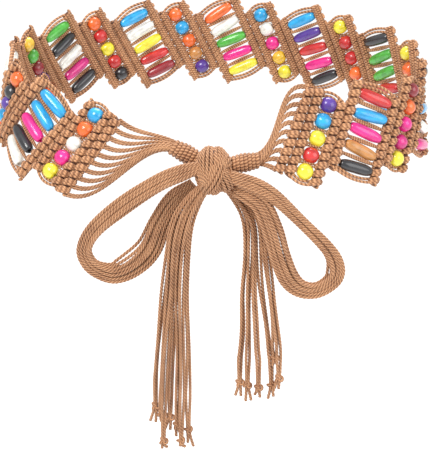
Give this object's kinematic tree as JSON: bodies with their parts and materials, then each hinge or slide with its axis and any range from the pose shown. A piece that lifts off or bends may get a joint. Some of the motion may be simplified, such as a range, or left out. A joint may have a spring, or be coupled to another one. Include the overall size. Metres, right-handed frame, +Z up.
{
  "type": "tie belt",
  "caption": "Braided macrame tie belt: wide knotted band with slanted columns of coloured wooden beads, gathered into wrapped necks and tied in a bow with hanging cord tails",
  "frame": {"origin": "centre of the waist that the belt goes round, level with the middle of the side bands", "axes": "+Z up, +X to the right as seen from the front, the bow and tails at -Y, the middle of the back at +Y"},
  "size_m": [0.2566, 0.1873, 0.2356],
  "materials": {
    "band_cord": "waxed cotton cord in tan, knotted, with painted wooden beads in mixed colours",
    "tie_cord": "waxed cotton cord in tan, loose twisted strands",
    "wrap_cord": "waxed cotton cord in tan, wound tight"
  },
  "bodies": {
    "root": {"beaded_band_left": "band_cord", "beaded_band_right": "band_cord", "fan_left": "band_cord", "fan_right": "band_cord", "neck_wrap_left": "wrap_cord", "neck_wrap_right": "wrap_cord", "bow_knot": "tie_cord", "bow_loop_left": "tie_cord", "bow_loop_right": "tie_cord", "tail_left": "tie_cord", "tail_right": "tie_cord"}
  },
  "joints": []
}
